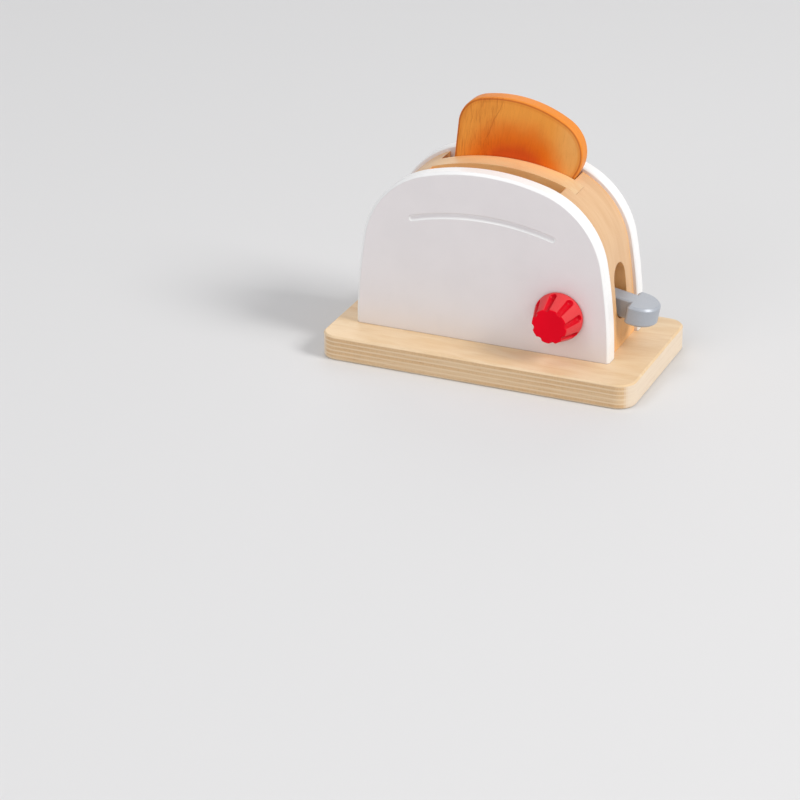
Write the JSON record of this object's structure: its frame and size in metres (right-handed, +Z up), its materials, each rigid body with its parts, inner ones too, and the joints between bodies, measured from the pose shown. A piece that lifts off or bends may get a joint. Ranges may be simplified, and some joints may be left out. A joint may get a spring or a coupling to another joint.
{
  "type": "toy toaster",
  "caption": "Wooden toy pop-up toaster: arched body with bread slots on a base board, a rocking lever that lifts a slice of toast, and a fluted turning knob.",
  "frame": {"origin": "on the floor, at the middle of the base board's underside", "axes": "+X along the base board to the lever end, +Y away from the knob side, +Z up"},
  "size_m": [0.195, 0.102, 0.1536],
  "materials": {
    "plywood": "clear satin lacquer, plies showing at the edges",
    "body_wood": "clear satin lacquer",
    "rail_wood": "clear satin lacquer",
    "white_paint": "satin white paint on wood",
    "grey_paint": "satin silver-grey paint on wood",
    "red_paint": "gloss red paint on wood",
    "toast_paint": "printed toast colours on wood, satin",
    "dowel_wood": "bare beech",
    "steel": "zinc plated"
  },
  "bodies": {
    "body": {"base_board": "plywood", "base_screws": "steel", "front_panel": "white_paint", "rear_panel": "white_paint", "front_panel_dowels": "dowel_wood", "rear_panel_dowels": "dowel_wood", "left_end_block": "body_wood", "right_end_block": "body_wood", "centre_divider": "rail_wood", "lever_pivot_pin": "steel", "lever_spacers": "steel"},
    "lever": {"lever": "grey_paint"},
    "toast_rest": {"front_toast_ledge": "body_wood", "rear_toast_ledge": "body_wood", "rest_bridge": "body_wood", "rest_dowels": "dowel_wood"},
    "toast": {"toast_slice": "toast_paint"},
    "knob": {"control_knob": "red_paint", "knob_spindle": "dowel_wood", "knob_washer": "steel", "knob_screw": "steel"}
  },
  "joints": [
    {"name": "lever_rock", "type": "hinge", "parent": "body", "child": "lever", "pos_m": [0.047, 0.0044, 0.045], "axis": [0, -1, 0], "range_deg": [0, 22]},
    {"name": "toast_rest_swing", "type": "hinge", "parent": "body", "child": "toast_rest", "pos_m": [0.084, 0.0044, 0.084], "axis": [0, -1, 0], "range_deg": [0, 14]},
    {"name": "toast_lift_out", "type": "slide", "parent": "toast_rest", "child": "toast", "axis": [0.1771, 0, 0.9842], "range_m": [0, 0.085]},
    {"name": "knob_turn", "type": "hinge", "parent": "body", "child": "knob", "pos_m": [0.0446, -0.026, 0.0405], "axis": [0, 1, 0], "continuous": true}
  ],
  "couplings": [
    {"joint": "toast_rest_swing", "follows": "lever_rock", "ratio": 0.636}
  ]
}
